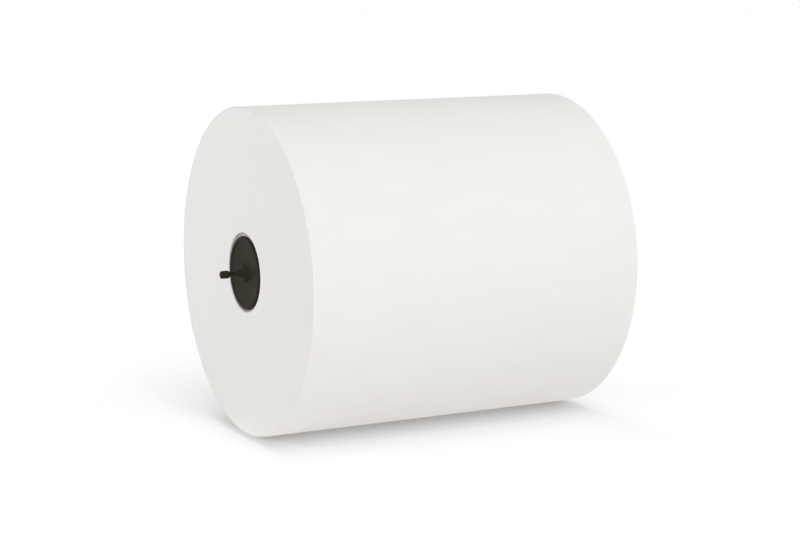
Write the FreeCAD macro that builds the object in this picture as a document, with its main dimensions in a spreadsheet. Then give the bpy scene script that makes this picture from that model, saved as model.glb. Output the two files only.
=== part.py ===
import FreeCAD, Part
import math
import os

import Sketcher

# A hard-wound roll of paper hand towel lying on its side, with a pinned plug in each end of its core.
# The frame: X along the roll's axis, Z up, the origin on the floor under the middle of the roll.
# Lengths are in millimetres and angles in degrees.

SIZES = (
    ("web_width", 210.0, "width of the paper web, which is the roll's length"),
    ("roll_diameter", 193.0, "mean outer diameter of the wound paper"),
    ("sheet_step", 0.28, "thickness of one turn, seen as the step at the loose tail"),
    ("tail_angle", -30.0, "where the tail ends, turned up from the back about the axis"),
    ("flat_depth", 0.5, "how far the roll settles into its flat spot"),
    ("turn_count", 6.0, "turns of the spiral line that shows on each end face"),
    ("turn_margin", 5.0, "paper left beyond the spiral line, at the rim and at the bore"),
    ("turn_width", 0.9, "width of the spiral line on the face"),
    ("turn_depth", 0.3, "depth of the spiral line"),
    ("core_inner_diameter", 40.8, "inner diameter of the board core"),
    ("core_wall", 2.9, "thickness of the board"),
    ("core_gap", 0.1, "glue line between the core and the first turn"),
    ("flange_gap", 1.7, "room between the plug's flange and the paper, on the radius"),
    ("shank_play", 1.0, "play of the plug's shank in the core, on the radius"),
    ("plug_lean", -36.0, "which way the plug sits in its play, turned up from the back about the axis"),
    ("seat_gap", 0.05, "what keeps the shank off the core where it leans"),
    ("flange_thickness", 1.8, "thickness of the plug's flange, by which the core is set back"),
    ("rim_bevel", 0.3, "bevel on the flange's outer edge"),
    ("lip_width", 1.5, "flat lip round the flange's face"),
    ("dish_depth", 0.5, "how far the face lies below the lip"),
    ("disc_wall", 1.6, "wall behind the dished face"),
    ("shank_length", 24.0, "length of the shank behind the flange"),
    ("shank_wall", 1.8, "wall of the shank"),
    ("lead_in", 1.5, "bevel on the shank's far end"),
    ("hub_diameter", 8.0, "solid hub behind the face, in line with the pin"),
    ("hub_length", 10.0, "how far the hub runs back from the wall"),
    ("rib_count", 4.0, "ribs between the hub and the shank"),
    ("rib_thickness", 1.6, "thickness of a rib"),
    ("rib_height", 8.0, "how far a rib runs back from the wall"),
    ("boss_diameter", 12.0, "raised boss at the pin's root"),
    ("boss_height", 1.2, "height of the boss above the lip"),
    ("boss_slope", 0.6, "how much the boss narrows towards its top, on the radius"),
    ("cone_diameter", 6.0, "foot of the cone that runs up to the neck"),
    ("cone_height", 4.0, "height of that cone"),
    ("neck_diameter", 2.4, "slim neck of the pin"),
    ("head_diameter", 4.6, "head of the pin"),
    ("head_length", 6.4, "length of the head with its two ends"),
    ("head_taper", 1.8, "length of the slope behind the head"),
    ("head_round", 1.7, "rounding of the head's end"),
    ("pin_reach", 14.6, "how far the pin stands out of the roll's end"),
)


class Length:
    """A length made from the sheet's cells: its value, and the expression that keeps it up to date."""

    def __init__(self, value, text):
        self.value = value
        self.text = text

    def __add__(self, other):
        return Length(self.value + other.value, f"({self.text} + {other.text})")

    def __sub__(self, other):
        return Length(self.value - other.value, f"({self.text} - {other.text})")

    def __mul__(self, number):
        return Length(self.value * number, f"({self.text} * {number})")

    def __truediv__(self, number):
        return Length(self.value / number, f"({self.text} / {number})")

    def __neg__(self):
        return Length(-self.value, f"(0 - {self.text})")

    def across(self, angle):
        """Its share along the direction from which the angle, in degrees, is counted."""
        share = math.cos(math.radians(angle.value))
        return Length(self.value * share, f"({self.text} * cos({angle.text} * 1 deg))")

    def upward(self, angle):
        """Its share at right angles to that direction."""
        share = math.sin(math.radians(angle.value))
        return Length(self.value * share, f"({self.text} * sin({angle.text} * 1 deg))")


ZERO = Length(0.0, "0")


def make_sheet(doc):
    """The sheet of driving dimensions, one row for each, and the lengths that read them."""
    sheet = doc.addObject("Spreadsheet::Sheet", "sizes")
    for row, (name, value, note) in enumerate(SIZES, start=1):
        sheet.set(f"A{row}", name)
        sheet.set(f"B{row}", str(value))
        sheet.set(f"C{row}", note)
        sheet.setAlias(f"B{row}", name)
    doc.recompute()
    return {name: Length(float(sheet.get(name)), f"sizes.{name}") for name, _, _ in SIZES}


def derive(size):
    """Lengths that several pieces share, each worked out from the sheet's cells."""
    size["roll_radius"] = size["roll_diameter"] / 2
    size["axis_height"] = size["roll_radius"] - size["flat_depth"]
    size["core_radius"] = size["core_inner_diameter"] / 2 + size["core_wall"]
    size["bore_radius"] = size["core_radius"] + size["core_gap"]
    size["flange_radius"] = size["bore_radius"] - size["flange_gap"]
    size["shank_radius"] = size["core_inner_diameter"] / 2 - size["shank_play"]
    leaned = size["shank_play"] - size["seat_gap"]
    size["plug_back"] = leaned.across(size["plug_lean"])
    size["plug_height"] = size["axis_height"] + leaned.upward(size["plug_lean"])


def origin_feature(body, role):
    """One of a body's own origin planes or axes."""
    return next(item for item in body.Origin.OriginFeatures if item.Role == role)


def new_body(doc, name, height):
    """An empty body whose own X axis lies at the given height above the floor."""
    body = doc.addObject("PartDesign::Body", name)
    body.Label = name
    body.setExpression("Placement.Base.z", height.text)
    return body


def new_sketch(body, name, plane):
    """A sketch on one of the body's own origin planes."""
    sketch = body.newObject("Sketcher::SketchObject", name)
    sketch.AttachmentSupport = [(origin_feature(body, plane), "")]
    sketch.MapMode = "FlatFace"
    return sketch


def turn_sketch(sketch, axis, angle):
    """Turns a sketch in its plane's frame by an angle from the sheet."""
    sketch.AttachmentOffset = FreeCAD.Placement(FreeCAD.Vector(), FreeCAD.Rotation(axis, angle.value))
    sketch.setExpression("AttachmentOffset.Rotation.Angle", angle.text)


def dimension(sketch, kind, length, *places):
    """A dimension in the sketch, tied to the sheet."""
    index = sketch.addConstraint(Sketcher.Constraint(kind, *places, length.value))
    sketch.setExpression(f"Constraints[{index}]", length.text)


def place_point(sketch, edge, end, x, y):
    """Fixes a point of an edge; a zero is held on the sketch's own axis."""
    for length, kind, axis in ((x, "DistanceX", -2), (y, "DistanceY", -1)):
        if length is ZERO:
            sketch.addConstraint(Sketcher.Constraint("PointOnObject", edge, end, axis))
        else:
            dimension(sketch, kind, length, -1, 1, edge, end)


def arc_about(centre, first, second):
    """The short arc between two points, and which of its ends is the first point."""
    angles = [math.atan2(p.y - centre.y, p.x - centre.x) for p in (first, second)]
    forward = (first - centre).cross(second - centre).z > 0
    start, stop = angles if forward else reversed(angles)
    circle = Part.Circle(centre, FreeCAD.Vector(0, 0, 1), (first - centre).Length)
    return Part.ArcOfCircle(circle, start, stop), (1, 2) if forward else (2, 1)


def draw_outline(sketch, corners, arcs=None):
    """A closed outline through corners; arcs gives the centre of each edge that isn't straight."""
    points = [FreeCAD.Vector(x.value, y.value, 0) for x, y in corners]
    base = sketch.GeometryCount
    ends = []
    for number, first in enumerate(points):
        second = points[(number + 1) % len(points)]
        if arcs and number in arcs:
            x, y = arcs[number]
            edge, pair = arc_about(FreeCAD.Vector(x.value, y.value, 0), first, second)
        else:
            edge, pair = Part.LineSegment(first, second), (1, 2)
        sketch.addGeometry(edge, False)
        ends.append(pair)
    for number, (x, y) in enumerate(corners):
        last = (number - 1) % len(corners)
        edge, start = base + number, ends[number][0]
        sketch.addConstraint(Sketcher.Constraint("Coincident", base + last, ends[last][1], edge, start))
        place_point(sketch, edge, start, x, y)
        if arcs and number in arcs:
            dimension(sketch, "DistanceX", arcs[number][0], -1, 1, edge, 3)


def draw_circle(sketch, radius):
    """A circle about the sketch's origin."""
    circle = sketch.addGeometry(Part.Circle(FreeCAD.Vector(), FreeCAD.Vector(0, 0, 1), radius.value), False)
    sketch.addConstraint(Sketcher.Constraint("Coincident", circle, 3, -1, 1))
    dimension(sketch, "Radius", radius, circle)


def both_ways(doc, body, kind, name, sketch, length):
    """A pad or pocket that runs half its length to each side of the sketch."""
    feature = body.newObject(kind, name)
    feature.Profile = sketch
    feature.SideType = "Symmetric"
    feature.Length = length.value
    feature.setExpression("Length", length.text)
    sketch.Visibility = False
    doc.recompute()
    return feature


def check_cut(before, feature):
    """Stops if a feature that should take material away didn't."""
    if feature.Shape.Volume >= before.Shape.Volume - 1e-6:
        raise RuntimeError(f"{feature.Name} cuts nothing")


def draw_roll_outline(sketch, size):
    """The outermost turn: two half circles whose centres lie a quarter step each side of the axis.

    Their radii differ by half a step, so they run smoothly into each other opposite the tail and leave
    a step of one thickness at it, where the sheet that comes over the top ends.
    """
    radius, step = size["roll_radius"], size["sheet_step"]
    outer, inner = radius + step / 4, radius - step / 4
    shift = step / 4
    z_axis = FreeCAD.Vector(0, 0, 1)
    upper_circle = Part.Circle(FreeCAD.Vector(shift.value, 0, 0), z_axis, outer.value)
    lower_circle = Part.Circle(FreeCAD.Vector(-shift.value, 0, 0), z_axis, inner.value)
    upper = sketch.addGeometry(Part.ArcOfCircle(upper_circle, 0, math.pi), False)
    lower = sketch.addGeometry(Part.ArcOfCircle(lower_circle, math.pi, 2 * math.pi), False)
    tail_line = Part.LineSegment(
        FreeCAD.Vector((radius - step / 2).value, 0, 0),
        FreeCAD.Vector((radius + step / 2).value, 0, 0),
    )
    tail = sketch.addGeometry(tail_line, False)
    place_point(sketch, upper, 3, shift, ZERO)
    place_point(sketch, lower, 3, -shift, ZERO)
    dimension(sketch, "Radius", outer, upper)
    sketch.addConstraint(
        [
            Sketcher.Constraint("PointOnObject", upper, 1, -1),
            Sketcher.Constraint("PointOnObject", upper, 2, -1),
            Sketcher.Constraint("Coincident", upper, 2, lower, 1),
            Sketcher.Constraint("PointOnObject", lower, 2, -1),
            Sketcher.Constraint("Coincident", tail, 1, lower, 2),
            Sketcher.Constraint("Coincident", tail, 2, upper, 1),
        ]
    )


def wind_paper(doc, body, size):
    """The wound paper as one solid tube whose outside is the last turn with its tail."""
    sketch = new_sketch(body, "paper_section", "YZ_Plane")
    turn_sketch(sketch, FreeCAD.Vector(0, 0, 1), size["tail_angle"])
    draw_roll_outline(sketch, size)
    draw_circle(sketch, size["bore_radius"])
    return both_ways(doc, body, "PartDesign::Pad", "paper_web", sketch, size["web_width"])


def press_flat(doc, body, size, before):
    """The flat spot that the roll's own weight presses into its underside."""
    sketch = new_sketch(body, "flat_section", "YZ_Plane")
    side, top = size["roll_radius"], -size["axis_height"]
    below = top - size["flat_depth"] - size["sheet_step"]
    draw_outline(sketch, [(-side, below), (side, below), (side, top), (-side, top)])
    whole_width = size["web_width"] + size["turn_margin"]
    pocket = both_ways(doc, body, "PartDesign::Pocket", "rest_flat", sketch, whole_width)
    check_cut(before, pocket)
    return pocket


def half_turns(doc, body, size, before, name, outermost, shift, reverse):
    """Half of the spiral line on both end faces: half rings about an axis beside the roll's own."""
    sketch = new_sketch(body, f"{name}_section", "XY_Plane")
    turn_sketch(sketch, FreeCAD.Vector(1, 0, 0), size["tail_angle"])
    pitch = turn_pitch(size)
    depth, half_width = size["turn_depth"], size["turn_width"]
    face = size["web_width"] / 2
    axis_ends = [FreeCAD.Vector(x, shift.value, 0) for x in (0, face.value)]
    axis = sketch.addGeometry(Part.LineSegment(*axis_ends), True)
    place_point(sketch, axis, 1, ZERO, shift)
    place_point(sketch, axis, 2, face, shift)
    for turn in range(int(size["turn_count"].value)):
        place = outermost - pitch * turn
        for base, tip in ((face + depth, face - depth), (-face - depth, depth - face)):
            draw_outline(sketch, [(base, place - half_width), (base, place + half_width), (tip, place)])
    groove = body.newObject("PartDesign::Groove", name)
    groove.Profile = sketch
    groove.ReferenceAxis = (sketch, ["Axis0"])
    groove.Angle = 180
    groove.Reversed = reverse
    sketch.Visibility = False
    doc.recompute()
    check_cut(before, groove)
    return groove


def turn_pitch(size):
    """Distance from one turn of the spiral line to the next."""
    room = size["roll_radius"] - size["bore_radius"] - size["turn_margin"] * 2
    return Length(room.value / size["turn_count"].value, f"({room.text} / {size['turn_count'].text})")


def make_paper_roll(doc, size):
    """The wound paper: the last turn with its tail, the flat spot and the spiral of turns on both ends."""
    body = new_body(doc, "paper_roll", size["axis_height"])
    web = wind_paper(doc, body, size)
    flat = press_flat(doc, body, size, web)
    pitch = turn_pitch(size)
    start = size["roll_radius"] - size["turn_margin"]
    upper = half_turns(doc, body, size, flat, "upper_turns", start, pitch / 4, False)
    half_turns(doc, body, size, upper, "lower_turns", start - pitch, -pitch / 4, True)
    return body


def make_core_tube(doc, size):
    """The board tube that the paper is wound on, set back at each end by the flange's thickness."""
    body = new_body(doc, "core_tube", size["axis_height"])
    sketch = new_sketch(body, "core_section", "YZ_Plane")
    draw_circle(sketch, size["core_radius"])
    draw_circle(sketch, size["core_inner_diameter"] / 2)
    length = size["web_width"] - size["flange_thickness"] * 2
    both_ways(doc, body, "PartDesign::Pad", "core_wall_pad", sketch, length)
    return body


def pin_corners(size):
    """The pin's half section from its end down to the boss, as distance out of the roll and radius."""
    tip, head = size["pin_reach"], size["head_diameter"] / 2
    neck, boss_top = size["neck_diameter"] / 2, size["boss_height"]
    boss = size["boss_diameter"] / 2
    return [
        (tip, ZERO),
        (tip, head - size["head_round"]),
        (tip - size["head_round"], head),
        (tip - size["head_length"] + size["head_taper"], head),
        (tip - size["head_length"], neck),
        (boss_top + size["cone_height"], neck),
        (boss_top, size["cone_diameter"] / 2),
        (boss_top, boss - size["boss_slope"]),
        (-size["dish_depth"], boss),
    ]


def cup_corners(size):
    """The rest of the plug's half section: dished face, lip, flange, shank, and hub behind the face."""
    flange, shank = size["flange_radius"], size["shank_radius"]
    lip = flange - size["rim_bevel"] - size["lip_width"]
    seat = -size["flange_thickness"]
    shank_end = seat - size["shank_length"]
    wall_back = -size["dish_depth"] - size["disc_wall"]
    bore = shank - size["shank_wall"]
    hub = size["hub_diameter"] / 2
    hub_end = wall_back - size["hub_length"]
    return [
        (-size["dish_depth"], lip - size["dish_depth"]),
        (ZERO, lip),
        (ZERO, flange - size["rim_bevel"]),
        (-size["rim_bevel"], flange),
        (seat, flange),
        (seat, shank),
        (shank_end + size["lead_in"], shank),
        (shank_end, shank - size["lead_in"] / 2),
        (shank_end, bore),
        (wall_back, bore),
        (wall_back, hub),
        (hub_end, hub),
        (hub_end, ZERO),
    ]


def add_ribs(doc, body, size):
    """Ribs that join the hub to the shank behind the face, spread evenly round the axis."""
    sketch = new_sketch(body, "rib_section", "XY_Plane")
    wall_front = -size["dish_depth"] - size["disc_wall"] / 2
    rib_end = -size["dish_depth"] - size["disc_wall"] - size["rib_height"]
    inside = size["hub_diameter"] / 4
    outside = size["shank_radius"] - size["shank_wall"] / 2
    corners = [(rib_end, inside), (wall_front, inside), (wall_front, outside), (rib_end, outside)]
    draw_outline(sketch, corners)
    rib = both_ways(doc, body, "PartDesign::Pad", "rib", sketch, size["rib_thickness"])
    ribs = body.newObject("PartDesign::PolarPattern", "ribs")
    ribs.Originals = [rib]
    ribs.Axis = (origin_feature(body, "X_Axis"), [""])
    ribs.Angle = 360
    ribs.Occurrences = int(size["rib_count"].value)
    body.Tip = ribs
    doc.recompute()


def make_plug(doc, size, name, outward):
    """A moulded plug: pin, dished flange and hollow shank in one piece, pointing out along X."""
    body = new_body(doc, name, size["plug_height"])
    turn = 0 if outward > 0 else 180
    face = size["web_width"] / 2 * outward
    place = FreeCAD.Vector(face.value, size["plug_back"].value, size["plug_height"].value)
    body.Placement = FreeCAD.Placement(place, FreeCAD.Rotation(FreeCAD.Vector(0, 0, 1), turn))
    body.setExpression("Placement.Base.x", face.text)
    body.setExpression("Placement.Base.y", size["plug_back"].text)
    sketch = new_sketch(body, "plug_section", "XY_Plane")
    corners = pin_corners(size) + cup_corners(size)
    head_centre = (corners[2][0], corners[1][1])
    draw_outline(sketch, corners, {1: head_centre})
    turned = body.newObject("PartDesign::Revolution", "plug_turned")
    turned.Profile = sketch
    turned.ReferenceAxis = (sketch, ["H_Axis"])
    turned.Angle = 360
    sketch.Visibility = False
    doc.recompute()
    add_ribs(doc, body, size)
    return body


def check_document(doc, bodies):
    """Stops if anything in the document failed or a piece has no sound solid."""
    failed = [item.Name for item in doc.Objects if "Invalid" in item.State or "Error" in item.State]
    if failed:
        raise RuntimeError(f"failed objects: {failed}")
    for body in bodies:
        shape = body.Shape
        if shape.isNull() or not shape.isValid() or len(shape.Solids) != 1:
            raise RuntimeError(f"{body.Label} has no sound solid")


def main():
    doc = FreeCAD.newDocument("paper_towel_roll")
    size = make_sheet(doc)
    derive(size)
    bodies = [
        make_paper_roll(doc, size),
        make_core_tube(doc, size),
        make_plug(doc, size, "left_core_plug", -1),
        make_plug(doc, size, "right_core_plug", 1),
    ]
    doc.recompute()
    check_document(doc, bodies)
    os.makedirs("parts", exist_ok=True)
    for body in bodies:
        body.Shape.exportStep(f"parts/{body.Label}.step")
        print(body.Label, round(body.Shape.Volume), "mm3")


main()
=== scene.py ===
import math

import bpy
from mathutils import Matrix, Vector, noise


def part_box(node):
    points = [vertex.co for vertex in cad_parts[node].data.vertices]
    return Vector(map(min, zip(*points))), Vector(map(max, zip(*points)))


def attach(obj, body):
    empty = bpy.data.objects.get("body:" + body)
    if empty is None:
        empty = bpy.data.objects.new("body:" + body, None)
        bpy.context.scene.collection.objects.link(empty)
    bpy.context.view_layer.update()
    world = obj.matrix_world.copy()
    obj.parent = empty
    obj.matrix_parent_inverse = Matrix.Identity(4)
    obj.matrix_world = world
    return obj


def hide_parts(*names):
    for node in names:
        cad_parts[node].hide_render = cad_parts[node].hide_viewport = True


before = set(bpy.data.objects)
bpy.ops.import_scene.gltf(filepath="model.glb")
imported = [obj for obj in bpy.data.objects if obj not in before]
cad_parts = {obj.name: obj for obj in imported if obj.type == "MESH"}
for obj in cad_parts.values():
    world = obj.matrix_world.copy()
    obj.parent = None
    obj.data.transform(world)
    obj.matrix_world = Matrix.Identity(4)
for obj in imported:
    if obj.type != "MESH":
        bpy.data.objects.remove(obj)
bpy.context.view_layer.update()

# A hard-wound roll of paper hand towel on its side. Lengths are in metres: X along the roll's axis, Z up.

MM = 0.001
PAPER_LOW, PAPER_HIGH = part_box("paper_roll")
CORE_LOW, CORE_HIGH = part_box("core_tube")
PLUG_LOW, PLUG_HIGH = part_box("left_core_plug")

# The roll, read from the frame
FACE = (PAPER_HIGH[0] - PAPER_LOW[0]) / 2
RADIUS = (PAPER_HIGH[1] - PAPER_LOW[1]) / 2
AXIS_HEIGHT = (CORE_LOW[2] + CORE_HIGH[2]) / 2
GLUE_LINE = 0.1 * MM
BORE = (CORE_HIGH[1] - CORE_LOW[1]) / 2 + GLUE_LINE

# The sheet and its tail, which ends at the back; the other angles are counted from the tail's end
SHEET = 0.28 * MM
SHEET_PLAY = 0.03 * MM
TAIL_ANGLE = math.radians(-30)
TAIL_OVERLAP = math.radians(20)
TAIL_RAMP = math.radians(30)
TAIL_LIFTED = math.radians(11)
TAIL_LIFT = 0.7 * MM
TAIL_RAGGED = 0.25 * MM

# The unevenness of the paper: waves are counted per metre along the axis, and per radius around it
SIDE_WAVE = 0.05 * MM
WAVES_ALONG, WAVES_AROUND = 9, 1.6
LIFT_WAVES, LIFT_SEED = 22, 3.1
RAGGED_WAVES, RAGGED_SEED = 160, 7.7
BROAD_RELIEF, BROAD_SPACING = 0.10 * MM, 7 * MM
FINE_RELIEF, FINE_SPACING, FINE_SEED = 0.05 * MM, 1.3 * MM, 4

# The flat spot lies where the side is more than this share of a radius below the axis, and blends into it
FLAT_FROM = 0.5
FLAT_BLEND = 0.3 * MM

# How finely the paper is divided
RIM_ROUND = 0.25 * MM
BORE_SETBACK = RIM_ROUND * 1.3
RIM_STEPS = 3
ROUND_STEPS = 256
LIFTED_STEPS = 12
OVERLAP_STEPS = 16
FACE_RINGS = 150
WIDTH_STEPS = 28
PAPER_SHARP = 50

# Which of the paper's two finishes a face has
SIDE_FINISH, END_FINISH = 0, 1

# The plug, in distance out from the roll's end and radius
PLUG_BACK = (PLUG_LOW[1] + PLUG_HIGH[1]) / 2
PLUG_HEIGHT = (PLUG_LOW[2] + PLUG_HIGH[2]) / 2
FLANGE_RADIUS = (PLUG_HIGH[1] - PLUG_LOW[1]) / 2
PIN_REACH = -FACE - PLUG_LOW[0]
PLUG_DEPTH = FACE + PLUG_HIGH[0]
FLANGE_THICKNESS = 1.8 * MM
SHANK_RADIUS = 19.4 * MM
SHANK_WALL = 1.8 * MM
LEAD_IN = 1.5 * MM
RIM_BEVEL = 0.8 * MM
LIP_WIDTH = 1.5 * MM
DISH_DEPTH = 0.5 * MM
DISH_FALL = 0.6 * MM
DISC_WALL = 1.6 * MM
HUB_RADIUS = 4.0 * MM
HUB_LENGTH = 10.0 * MM
RIB_COUNT = 4
RIB_THICKNESS = 1.6 * MM
RIB_HEIGHT = 8.0 * MM
BOSS_RADIUS = 6.0 * MM
BOSS_HEIGHT = 1.2 * MM
BOSS_SLOPE = 1.8 * MM
CONE_RADIUS = 3.0 * MM
CONE_HEIGHT = 4.0 * MM
NECK_RADIUS = 1.2 * MM
HEAD_RADIUS = 2.3 * MM
HEAD_LENGTH = 6.4 * MM
HEAD_TAPER = 1.8 * MM
HEAD_ROUND = 1.7 * MM
EDGE_ROUND = 0.15 * MM
EDGE_STEPS = 3
WIDE_STEPS = 6
EDGE_SHARE = 0.48
PLUG_STEPS = 128
PLUG_SHARP = 40

# Widths of what shows in the cut paper and the board
BAND_WIDTH = 2.6 * MM
BOARD_LAYER = 0.45 * MM

# The camera, measured from the middle of the roll's axis
CAMERA_PLACE = Vector((-0.5560, -1.0731, 0.1950))
CAMERA_PITCH = math.radians(9.37)
CAMERA_YAW = math.radians(-27.28)
LENS = 90.7
SENSOR = 36.0

# The surround's light: even from all round, and more from each of these directions
WORLD_COLOUR = (1.0, 0.998, 0.992, 1)
WORLD_LIGHT = 0.05
WORLD_SIDES = (((0, 0, 1), 0.75), ((0, -1, 0), 1.18), ((1, 0, 0), 0.11))

# The one lamp: name, place, size, power
LAMP = ("left_back", (-1.61, 1.28, 0.42), 0.3, 9.5)

# The floor: its colour as it lights the roll and as it is seen; its white lift where it is seen, which falls
# to nothing near the roll as painted shade that deepens its shadow there;
# and its glow beside the roll, a painted fill light that lights the roll from below but is not itself seen;
# both by distance from the line that the roll rests on, which counts more beyond the roll's ends
FLOOR_HALF = 6.0
END_FACTOR = 8.0
FLOOR_COLOUR = 0.95
FLOOR_SEEN = 0.75
FLOOR_LIFT = ((0.012, 0.0), (0.030, 0.08), (0.055, 0.25), (0.080, 0.31), (0.200, 0.38))
FLOOR_FILL_GLOW = ((0.03, 0.26), (0.08, 0.0))


def build_mesh(name, points, faces, material_of=None):
    """A mesh object in the scene from points and faces, smooth shaded."""
    mesh = bpy.data.meshes.new(name)
    mesh.from_pydata(points, [], faces)
    if material_of:
        for polygon, index in zip(mesh.polygons, material_of):
            polygon.material_index = index
    mesh.polygons.foreach_set("use_smooth", [True] * len(mesh.polygons))
    mesh.update()
    piece = bpy.data.objects.new(name, mesh)
    bpy.context.scene.collection.objects.link(piece)
    return piece


def sharpen(piece, degrees):
    """Keeps edges sharper than the angle crisp, and the rest smooth."""
    piece.data.set_sharp_from_angle(angle=math.radians(degrees))


def on_roll(x, angle, radius):
    """A point of the roll, by its place along the axis, its angle up from the back and its radius."""
    return (x, radius * math.cos(angle), AXIS_HEIGHT + radius * math.sin(angle))


def settled(radius, angle, inset):
    """The radius of a wound surface, flattened softly underneath, where it lies the inset above the floor."""
    down = -math.sin(angle)
    if down < FLAT_FROM:
        return radius
    to_floor = (AXIS_HEIGHT - inset) / down
    overlap = max(FLAT_BLEND - abs(radius - to_floor), 0.0) / FLAT_BLEND
    return min(radius, to_floor) - overlap * overlap * FLAT_BLEND / 4


def side_wave(x, angle):
    """The slight unevenness of the wound side."""
    place = Vector((x * WAVES_ALONG, WAVES_AROUND * math.cos(angle), WAVES_AROUND * math.sin(angle)))
    return SIDE_WAVE * noise.noise(place)


def sheet_radius(turned):
    """Outer radius of the last turn, by the angle from its tail: it loses one thickness in a full turn."""
    return RADIUS + SHEET / 2 - SHEET * turned / (2 * math.pi)


def body_radius(turned):
    """Outer radius of the paper under the last turn, which makes room for the turn's own start."""
    lowest = RADIUS - SHEET * 1.5
    ramp = min(max((turned - TAIL_OVERLAP) / TAIL_RAMP, 0.0), 1.0)
    ramp = ramp * ramp * (3 - 2 * ramp)
    full = sheet_radius(turned) - SHEET
    return lowest + (full - lowest) * ramp - SHEET_PLAY


def face_relief(radius, angle):
    """How far a turn's edge stands back from the end face; turns differ a little from each other."""
    around = Vector((0.0, 0.5 * math.cos(angle), 0.5 * math.sin(angle)))
    broad = noise.noise(around + Vector((radius / BROAD_SPACING, 0, 0)))
    fine = noise.noise(around * 1.4 + Vector((radius / FINE_SPACING, FINE_SEED, 0)))
    return BROAD_RELIEF * (0.5 + 0.5 * broad) + FINE_RELIEF * (0.5 + 0.5 * fine)


def rim_rounding():
    """The steps of a rounded rim, each as how far it lies back from the face and in from the edge."""
    turns = [math.pi / 2 * step / RIM_STEPS for step in range(1, RIM_STEPS + 1)]
    return [(RIM_ROUND * (1 - math.cos(turn)), RIM_ROUND * (1 - math.sin(turn))) for turn in turns]


def wound_profile(turned):
    """The half section of the wound paper at one angle, from the bore out to the side.

    Each entry is the place along the axis and the radius.
    """
    angle = TAIL_ANGLE + turned
    outer = settled(body_radius(turned), angle, SHEET)
    rim = rim_rounding()
    at_bore, at_side = (FACE - face_relief(edge, angle) for edge in (BORE, outer))
    inside, span = BORE + RIM_ROUND, outer - BORE - 2 * RIM_ROUND
    face = [inside + span * ring / FACE_RINGS for ring in range(FACE_RINGS + 1)]
    entries = [(FACE - BORE_SETBACK, BORE)]
    entries += [(at_bore - back, BORE + rise) for back, rise in rim[:0:-1]]
    entries += [(FACE - face_relief(radius, angle), radius) for radius in face]
    entries += [(at_side - back, outer - rise) for back, rise in rim]
    return entries


def make_wound_paper():
    """The wound paper: its bore, both end faces with their turns, and the side beneath the last turn."""
    points, faces, kinds = [], [], []
    columns = [wound_profile(2 * math.pi * step / ROUND_STEPS) for step in range(ROUND_STEPS)]
    ring = 2 * len(columns[0])
    for step, entries in enumerate(columns):
        angle = TAIL_ANGLE + 2 * math.pi * step / ROUND_STEPS
        points += [on_roll(x, angle, radius) for x, radius in entries]
        points += [on_roll(-x, angle, radius) for x, radius in reversed(entries)]
    for step in range(ROUND_STEPS):
        here, there = step * ring, (step + 1) % ROUND_STEPS * ring
        for k in range(ring):
            after = (k + 1) % ring
            faces.append((here + k, here + after, there + after, there + k))
            kinds.append(SIDE_FINISH if k in (ring // 2 - 1, ring - 1) else END_FINISH)
    return build_mesh("wound_paper", points, faces, kinds)


def tail_lift(x, turned):
    """How far the loose end of the last turn stands off the roll."""
    if turned > TAIL_LIFTED:
        return 0.0
    share = 1 - turned / TAIL_LIFTED
    wave = 0.75 + 0.35 * noise.noise(Vector((x * LIFT_WAVES, LIFT_SEED, 0)))
    return TAIL_LIFT * wave * share * share


def sheet_points(x, turned):
    """The outer and the inner point of the last turn at one place."""
    ragged = TAIL_RAGGED * noise.noise(Vector((x * RAGGED_WAVES, RAGGED_SEED, 0))) if turned == 0 else 0.0
    angle = TAIL_ANGLE + turned + ragged / RADIUS
    depth = 0.0 if turned <= 2 * math.pi else SHEET
    top = settled(sheet_radius(turned), angle, depth) + side_wave(x, angle) * (1 - depth / SHEET)
    top += tail_lift(x, turned)
    return [on_roll(x, angle, top), on_roll(x, angle, top - SHEET + SHEET_PLAY)]


def sheet_faces(rows, columns):
    """The faces of a thin sheet and their finishes; its points come row by row, outer and inner in turn."""
    faces, kinds = [], []
    stride = 2 * columns
    for row in range(rows - 1):
        for column in range(columns - 1):
            here = row * stride + 2 * column
            there = here + stride
            faces.append((here, here + 2, there + 2, there))
            faces.append((here + 1, there + 1, there + 3, here + 3))
            kinds += [SIDE_FINISH, SIDE_FINISH]
        for column, flip in ((0, False), (columns - 1, True)):
            here = row * stride + 2 * column
            there = here + stride
            edge = (here, here + 1, there + 1, there) if flip else (here, there, there + 1, here + 1)
            faces.append(edge)
            kinds.append(END_FINISH)
    for row, flip in ((0, False), (rows - 1, True)):
        for column in range(columns - 1):
            here = row * stride + 2 * column
            edge = (here, here + 2, here + 3, here + 1) if flip else (here, here + 1, here + 3, here + 2)
            faces.append(edge)
            kinds.append(END_FINISH)
    return faces, kinds


def make_last_turn():
    """The last turn of the sheet as a thin solid, with its loose tail slightly lifted at the back."""
    wound = 2 * math.pi + TAIL_OVERLAP - TAIL_LIFTED
    wound_steps = ROUND_STEPS + OVERLAP_STEPS
    turns = [TAIL_LIFTED * step / LIFTED_STEPS for step in range(LIFTED_STEPS)]
    turns += [TAIL_LIFTED + wound * step / wound_steps for step in range(wound_steps + 1)]
    across = [FACE * (2 * step / WIDTH_STEPS - 1) for step in range(WIDTH_STEPS + 1)]
    points = [point for turned in turns for x in across for point in sheet_points(x, turned)]
    return build_mesh("last_turn", points, *sheet_faces(len(turns), len(across)))


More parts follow.
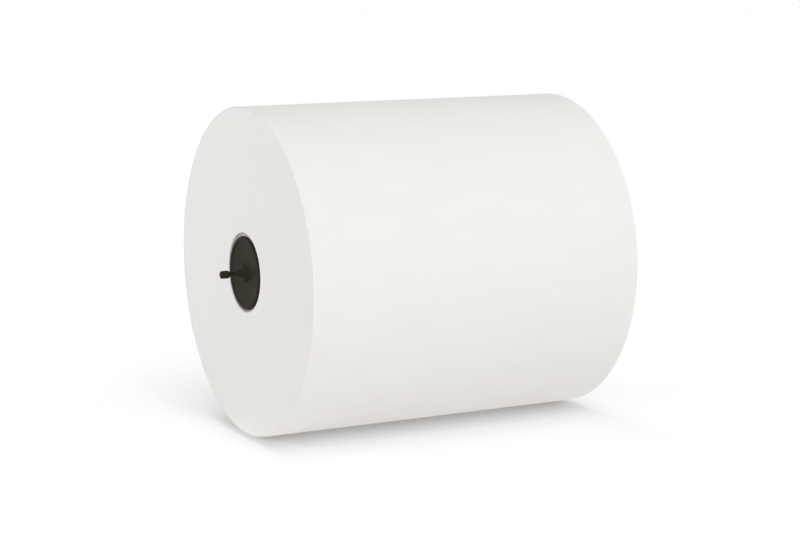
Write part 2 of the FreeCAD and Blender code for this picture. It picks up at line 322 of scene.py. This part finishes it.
def rounded(corners):
    """The outline through corners, each (out, radius, rounding), with its corners rounded by short arcs."""
    places = [Vector((out, radius)) for out, radius, _ in corners]
    outline = []
    for number, (_, _, size) in enumerate(corners):
        here = places[number]
        if size <= 0 or number in (0, len(corners) - 1):
            outline.append(here)
            continue
        back, ahead = places[number - 1] - here, places[number + 1] - here
        half = back.angle(ahead) / 2
        reach = min(size / math.tan(half), back.length * EDGE_SHARE, ahead.length * EDGE_SHARE)
        start, stop = here + back.normalized() * reach, here + ahead.normalized() * reach
        count = WIDE_STEPS if size > EDGE_ROUND * 2 else EDGE_STEPS
        for step in range(count + 1):
            share = step / count
            outline.append(start * (1 - share) ** 2 + here * 2 * share * (1 - share) + stop * share ** 2)
    return outline


def plug_corners():
    """The plug's half section from the pin's end over the flange and shank to the hub behind the face."""
    edge = EDGE_ROUND
    lip = FLANGE_RADIUS - RIM_BEVEL - LIP_WIDTH
    wall_back = -DISH_DEPTH - DISC_WALL
    bore = SHANK_RADIUS - SHANK_WALL
    return [
        (PIN_REACH, 0, 0),
        (PIN_REACH, HEAD_RADIUS, HEAD_ROUND),
        (PIN_REACH - HEAD_LENGTH + HEAD_TAPER, HEAD_RADIUS, edge * 2),
        (PIN_REACH - HEAD_LENGTH, NECK_RADIUS, edge * 2),
        (BOSS_HEIGHT + CONE_HEIGHT, NECK_RADIUS, edge * 4),
        (BOSS_HEIGHT, CONE_RADIUS, edge * 3),
        (BOSS_HEIGHT, BOSS_RADIUS - BOSS_SLOPE, edge * 8),
        (-DISH_DEPTH - DISH_FALL, BOSS_RADIUS, edge * 6),
        (-DISH_DEPTH, lip - DISH_DEPTH, edge * 2),
        (0, lip, edge),
        (0, FLANGE_RADIUS - RIM_BEVEL, edge),
        (-RIM_BEVEL, FLANGE_RADIUS, edge),
        (-FLANGE_THICKNESS, FLANGE_RADIUS, edge),
        (-FLANGE_THICKNESS, SHANK_RADIUS, edge),
        (-PLUG_DEPTH + LEAD_IN, SHANK_RADIUS, edge),
        (-PLUG_DEPTH, SHANK_RADIUS - LEAD_IN / 2, edge),
        (-PLUG_DEPTH, bore, edge),
        (wall_back, bore, edge),
        (wall_back, HUB_RADIUS, edge),
        (wall_back - HUB_LENGTH, HUB_RADIUS, edge),
        (wall_back - HUB_LENGTH, 0, 0),
    ]


def add_rib(points, faces, turn):
    """One rib behind the plug's face, from the hub to the shank, as a closed box in the same mesh."""
    front = -DISH_DEPTH - DISC_WALL / 2
    back = -DISH_DEPTH - DISC_WALL - RIB_HEIGHT
    near, far = HUB_RADIUS / 2, SHANK_RADIUS - SHANK_WALL / 2
    first = len(points)
    for out in (back, front):
        for reach, side in ((near, -1), (far, -1), (far, 1), (near, 1)):
            across = side * RIB_THICKNESS / 2
            y = reach * math.cos(turn) - across * math.sin(turn)
            z = reach * math.sin(turn) + across * math.cos(turn)
            points.append((out, y, z))
    box = ((0, 3, 2, 1), (4, 5, 6, 7), (0, 1, 5, 4), (1, 2, 6, 5), (2, 3, 7, 6), (3, 0, 4, 7))
    faces += [tuple(first + corner for corner in face) for face in box]


def make_plug(name, outward):
    """A moulded plug, turned about its own axis, with softened edges."""
    outline = rounded(plug_corners())
    points, faces = [], []
    inner = outline[1:-1]
    for step in range(PLUG_STEPS):
        turn = 2 * math.pi * step / PLUG_STEPS
        points += [(p.x, p.y * math.cos(turn), p.y * math.sin(turn)) for p in inner]
    count = len(inner)
    for step in range(PLUG_STEPS):
        here, there = step * count, (step + 1) % PLUG_STEPS * count
        faces += [(here + k, there + k, there + k + 1, here + k + 1) for k in range(count - 1)]
    for end, k in ((outline[0], 0), (outline[-1], count - 1)):
        points.append((end.x, 0, 0))
        middle = len(points) - 1
        for step in range(PLUG_STEPS):
            here, there = step * count + k, (step + 1) % PLUG_STEPS * count + k
            faces.append((middle, there, here) if k == 0 else (middle, here, there))
    for rib in range(RIB_COUNT):
        add_rib(points, faces, 2 * math.pi * rib / RIB_COUNT)
    turned = 0 if outward > 0 else math.pi
    place = Matrix.Translation((FACE * outward, PLUG_BACK, PLUG_HEIGHT)) @ Matrix.Rotation(turned, 4, "Z")
    piece = build_mesh(name, [tuple(place @ Vector(p)) for p in points], faces)
    sharpen(piece, PLUG_SHARP)
    return piece


class Shader:
    """A small helper for building one node material."""

    def __init__(self, name):
        self.material = bpy.data.materials.new(name)
        self.material.use_nodes = True
        self.tree = self.material.node_tree
        self.tree.nodes.clear()
        self.surface = self.add("ShaderNodeBsdfPrincipled")
        output = self.add("ShaderNodeOutputMaterial")
        self.link(self.surface.outputs["BSDF"], output.inputs["Surface"])

    def add(self, kind, settings=None, **sockets):
        """A new node, with its settings and with a number, colour or link for each socket named."""
        node = self.tree.nodes.new(kind)
        for key, value in (settings or {}).items():
            setattr(node, key, value)
        for key, value in sockets.items():
            self.feed(node, key.replace("_", " "), value)
        return node

    def feed(self, node, key, value):
        socket = node.inputs[key]
        if isinstance(value, bpy.types.NodeSocket):
            self.link(value, socket)
        else:
            socket.default_value = value

    def link(self, source, target):
        self.tree.links.new(source, target)

    def place(self, scale=(1, 1, 1)):
        """The object's own coordinates in metres, scaled."""
        where = self.add("ShaderNodeTexCoord")
        mapping = self.add("ShaderNodeMapping")
        mapping.inputs["Scale"].default_value = scale
        self.link(where.outputs["Object"], mapping.inputs["Vector"])
        return mapping.outputs["Vector"]

    def noise(self, vector, scale, detail, roughness):
        """Noise in space, from 0 to 1; its scale is in bumps per metre."""
        node = self.add("ShaderNodeTexNoise", Scale=scale, Detail=detail, Roughness=roughness)
        self.link(vector, node.inputs["Vector"])
        return node.outputs["Fac"]

    def noise_along(self, value, detail):
        """Noise along one number."""
        node = self.add("ShaderNodeTexNoise", {"noise_dimensions": "1D"}, Scale=1.0, Detail=detail)
        self.link(value, node.inputs["W"])
        return node.outputs["Fac"]

    def calc(self, operation, first, second=0.0):
        """A number worked out in the material, from numbers or from other nodes."""
        node = self.add("ShaderNodeMath", {"operation": operation})
        for index, value in enumerate((first, second)):
            if isinstance(value, bpy.types.NodeSocket):
                self.link(value, node.inputs[index])
            else:
                node.inputs[index].default_value = value
        return node.outputs[0]

    def ramp(self, value, *stops):
        """Colours along a value; each stop is (position, colour)."""
        node = self.add("ShaderNodeValToRGB")
        band = node.color_ramp
        while len(band.elements) < len(stops):
            band.elements.new(0.5)
        for element, (position, colour) in zip(band.elements, stops):
            element.position = position
            element.color = (*colour, 1)
        self.link(value, node.inputs["Fac"])
        return node.outputs["Color"]

    def bump(self, height, distance, strength, below=None):
        """Fine relief from a height, on top of the relief below it if there is one."""
        node = self.add("ShaderNodeBump", Strength=strength, Distance=distance)
        self.link(height, node.inputs["Height"])
        if below:
            self.link(below, node.inputs["Normal"])
        return node.outputs["Normal"]

    def axes(self):
        """The object's own X, Y and Z, in metres."""
        where = self.add("ShaderNodeTexCoord")
        split = self.add("ShaderNodeSeparateXYZ")
        self.link(where.outputs["Object"], split.inputs[0])
        return split.outputs

    def radius(self):
        """Distance from the roll's axis, in metres."""
        _, back, up = self.axes()
        return self.length(back, self.calc("SUBTRACT", up, AXIS_HEIGHT))

    def from_roll(self):
        """Distance on the floor from the line that the roll rests on, counted more beyond its ends."""
        along, back, _ = self.axes()
        beyond = self.calc("SUBTRACT", self.calc("ABSOLUTE", along), FACE)
        beyond = self.calc("MULTIPLY", self.calc("MAXIMUM", beyond, 0.0), END_FACTOR)
        return self.length(beyond, back)

    def length(self, first, second):
        """The length of the slope between two sides at right angles."""
        squares = self.calc("ADD", self.calc("POWER", first, 2.0), self.calc("POWER", second, 2.0))
        return self.calc("SQRT", squares)


def grey(level, warmth=0.0):
    """A near neutral colour; warmth lowers its blue and, by half as much, its green."""
    return (level, level * (1 - warmth / 2), level * (1 - warmth))


def paper_side_material():
    """The towel's outer face: soft white tissue with crepe lines along the roll and a faint mottle."""
    shader = Shader("towel_side")
    crepe = shader.noise(shader.place((0.22, 1, 1)), 2600, 3.0, 0.6)
    fibre = shader.noise(shader.place(), 900, 4.0, 0.6)
    cloud = shader.noise(shader.place((0.5, 1, 1)), 60, 3.0, 0.55)
    mix = shader.calc("ADD", shader.calc("MULTIPLY", cloud, 0.6), shader.calc("MULTIPLY", fibre, 0.4))
    colour = shader.ramp(mix, (0.3, grey(0.860, 0.036)), (0.7, grey(0.885, 0.030)))
    shader.link(colour, shader.surface.inputs["Base Color"])
    first = shader.bump(crepe, 0.05 * MM, 0.5)
    second = shader.bump(fibre, 0.08 * MM, 0.4, first)
    shader.link(second, shader.surface.inputs["Normal"])
    shader.surface.inputs["Roughness"].default_value = 0.92
    shader.surface.inputs["Specular IOR Level"].default_value = 0.2
    return shader.material


def paper_end_material():
    """The cut edges of the turns: fine rings, each turn a little lighter or darker than the next."""
    shader = Shader("towel_end")
    radius = shader.radius()
    turns = shader.noise_along(shader.calc("MULTIPLY", radius, 1 / SHEET), 1.0)
    bands = shader.noise_along(shader.calc("MULTIPLY", radius, 1 / BAND_WIDTH), 3.0)
    fibre = shader.noise(shader.place(), 1500, 3.0, 0.6)
    mix = shader.calc("ADD", shader.calc("MULTIPLY", bands, 0.5), shader.calc("MULTIPLY", turns, 0.3))
    mix = shader.calc("ADD", mix, shader.calc("MULTIPLY", fibre, 0.2))
    colour = shader.ramp(mix, (0.3, grey(0.866, 0.036)), (0.7, grey(0.890, 0.030)))
    shader.link(colour, shader.surface.inputs["Base Color"])
    first = shader.bump(turns, 0.10 * MM, 0.5)
    second = shader.bump(fibre, 0.05 * MM, 0.5, first)
    shader.link(second, shader.surface.inputs["Normal"])
    shader.surface.inputs["Roughness"].default_value = 0.95
    shader.surface.inputs["Specular IOR Level"].default_value = 0.15
    return shader.material


def board_material():
    """Grey recycled board with specks and layered fibre."""
    shader = Shader("core_board")
    layers = shader.noise_along(shader.calc("MULTIPLY", shader.radius(), 1 / BOARD_LAYER), 1.0)
    fibre = shader.noise(shader.place((0.4, 1, 1)), 700, 4.0, 0.65)
    mix = shader.calc("ADD", shader.calc("MULTIPLY", layers, 0.4), shader.calc("MULTIPLY", fibre, 0.6))
    colour = shader.ramp(mix, (0.3, (0.52, 0.52, 0.46)), (0.7, (0.66, 0.66, 0.60)))
    shader.link(colour, shader.surface.inputs["Base Color"])
    shader.link(shader.bump(mix, 0.15 * MM, 0.5), shader.surface.inputs["Normal"])
    shader.surface.inputs["Roughness"].default_value = 0.9
    return shader.material


def plug_material():
    """Dark warm grey moulded plastic with a fine spark texture and faint wear."""
    shader = Shader("plug_plastic")
    grain = shader.noise(shader.place(), 2200, 2.0, 0.5)
    cloud = shader.noise(shader.place(), 90, 3.0, 0.6)
    colour = shader.ramp(cloud, (0.3, (0.0320, 0.0278, 0.0195)), (0.7, (0.0375, 0.0330, 0.0242)))
    shader.link(colour, shader.surface.inputs["Base Color"])
    rough = shader.ramp(cloud, (0.2, (0.40, 0.40, 0.40)), (0.8, (0.48, 0.48, 0.48)))
    shader.link(rough, shader.surface.inputs["Roughness"])
    shader.surface.inputs["Specular IOR Level"].default_value = 0.013
    shader.link(shader.bump(grain, 0.02 * MM, 0.3), shader.surface.inputs["Normal"])
    return shader.material


def give(piece, slot_name, *materials):
    """Hands a piece its materials, in the order of its faces' indices; slot_name is not used."""
    for material in materials:
        piece.data.materials.append(material)


def dress_core(board):
    """The board tube keeps its own shape and gets its finish."""
    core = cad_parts["core_tube"]
    for slot in core.material_slots:
        slot.material = board


def make_floor():
    """A white floor: where it is seen it is lifted to the backdrop's white, but the lift falls away near the
    roll, a painted shade that deepens its shadow; beside the roll it glows, a painted fill light that only
    light falling back onto the roll sees.
    """
    half = FLOOR_HALF
    corners = [(-half, -half, 0), (half, -half, 0), (half, half, 0), (-half, half, 0)]
    floor = build_mesh("floor", corners, [(0, 1, 2, 3)])
    shader = Shader("floor_white")
    shader.surface.inputs["Roughness"].default_value = 0.9
    shader.surface.inputs["Specular IOR Level"].default_value = 0.0
    path = shader.add("ShaderNodeLightPath")
    seen = shader.calc("MAXIMUM", path.outputs["Is Camera Ray"], path.outputs["Is Glossy Ray"])
    colour = shader.add("ShaderNodeMapRange", Value=seen, To_Min=FLOOR_COLOUR, To_Max=FLOOR_SEEN)
    shader.link(colour.outputs["Result"], shader.surface.inputs["Base Color"])
    shader.surface.inputs["Emission Color"].default_value = (1, 1, 1, 1)
    reach = shader.from_roll()
    # Painted shade: the seen white lift is held back near the roll, so its shadow there reads darker
    lift = shader.ramp(reach, *((place, grey(level)) for place, level in FLOOR_LIFT))
    # Painted fill light: the floor glows beside the roll for light that falls back onto the roll
    light = shader.ramp(reach, *((place, grey(level)) for place, level in FLOOR_FILL_GLOW))
    glow = shader.add("ShaderNodeMapRange", Value=seen, To_Min=light, To_Max=lift)
    shader.link(glow.outputs["Result"], shader.surface.inputs["Emission Strength"])
    floor.data.materials.append(shader.material)


def side_light(tree, direction, strength):
    """Light that is full in one direction and falls to nothing at right angles to it."""
    where = tree.nodes.new("ShaderNodeTexCoord")
    facing = tree.nodes.new("ShaderNodeVectorMath")
    facing.operation = "DOT_PRODUCT"
    facing.inputs[1].default_value = direction
    tree.links.new(where.outputs["Generated"], facing.inputs[0])
    lobe = tree.nodes.new("ShaderNodeMapRange")
    lobe.inputs["To Max"].default_value = strength
    tree.links.new(facing.outputs["Value"], lobe.inputs["Value"])
    return lobe.outputs["Result"]


def make_world():
    """A pale surround, brightest from the front and above, and white where it is seen."""
    world = bpy.data.worlds.new("studio")
    bpy.context.scene.world = world
    world.use_nodes = True
    tree = world.node_tree
    tree.nodes.clear()
    path = tree.nodes.new("ShaderNodeLightPath")
    seen = tree.nodes.new("ShaderNodeMath")
    seen.operation = "MAXIMUM"
    tree.links.new(path.outputs["Is Camera Ray"], seen.inputs[0])
    tree.links.new(path.outputs["Is Glossy Ray"], seen.inputs[1])
    total = None
    for direction, strength in WORLD_SIDES:
        added = tree.nodes.new("ShaderNodeMath")
        added.inputs[0].default_value = WORLD_LIGHT
        if total:
            tree.links.new(total, added.inputs[0])
        tree.links.new(side_light(tree, direction, strength), added.inputs[1])
        total = added.outputs[0]
    level = tree.nodes.new("ShaderNodeMapRange")
    level.inputs["To Max"].default_value = 1.0
    tree.links.new(total, level.inputs["To Min"])
    tree.links.new(seen.outputs[0], level.inputs["Value"])
    light = tree.nodes.new("ShaderNodeBackground")
    light.inputs["Color"].default_value = WORLD_COLOUR
    tree.links.new(level.outputs["Result"], light.inputs["Strength"])
    output = tree.nodes.new("ShaderNodeOutputWorld")
    tree.links.new(light.outputs[0], output.inputs["Surface"])


def make_lamp(name, place, size, power):
    """A square soft lamp aimed at the middle of the roll."""
    lamp = bpy.data.lights.new(name, "AREA")
    lamp.shape = "SQUARE"
    lamp.size = size
    lamp.energy = power
    holder = bpy.data.objects.new(name, lamp)
    holder.location = place
    towards = Vector((0, 0, AXIS_HEIGHT)) - Vector(place)
    holder.rotation_euler = towards.to_track_quat("-Z", "Y").to_euler()
    bpy.context.scene.collection.objects.link(holder)


def make_camera():
    """The camera at the photograph's viewing angle."""
    right = Vector((math.cos(CAMERA_YAW), math.sin(CAMERA_YAW), 0))
    ahead = Vector(
        (
            -math.sin(CAMERA_YAW) * math.cos(CAMERA_PITCH),
            math.cos(CAMERA_YAW) * math.cos(CAMERA_PITCH),
            -math.sin(CAMERA_PITCH),
        )
    )
    up = right.cross(ahead)
    data = bpy.data.cameras.new("camera")
    data.lens = LENS
    data.sensor_width = SENSOR
    camera = bpy.data.objects.new("camera", data)
    turn = Matrix((right, up, -ahead)).transposed().to_4x4()
    camera.matrix_world = Matrix.Translation(CAMERA_PLACE + Vector((0, 0, AXIS_HEIGHT))) @ turn
    bpy.context.scene.collection.objects.link(camera)
    bpy.context.scene.camera = camera


def make_roll():
    """The paper, the core and the plugs; the paper and the plugs ride on the one body."""
    side, end = paper_side_material(), paper_end_material()
    plastic = plug_material()
    dress_core(board_material())
    for piece in (make_wound_paper(), make_last_turn()):
        give(piece, "towel_paper", side, end)
        sharpen(piece, PAPER_SHARP)
        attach(piece, "root")
        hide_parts("paper_roll")
    for name, node, outward in (("left_plug", "left_core_plug", -1), ("right_plug", "right_core_plug", 1)):
        plug = make_plug(name, outward)
        give(plug, "plug_plastic", plastic)
        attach(plug, "root")
        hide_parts(node)


make_camera()
make_roll()
make_floor()
make_world()
make_lamp(*LAMP)
bpy.context.scene.view_settings.view_transform = "Standard"
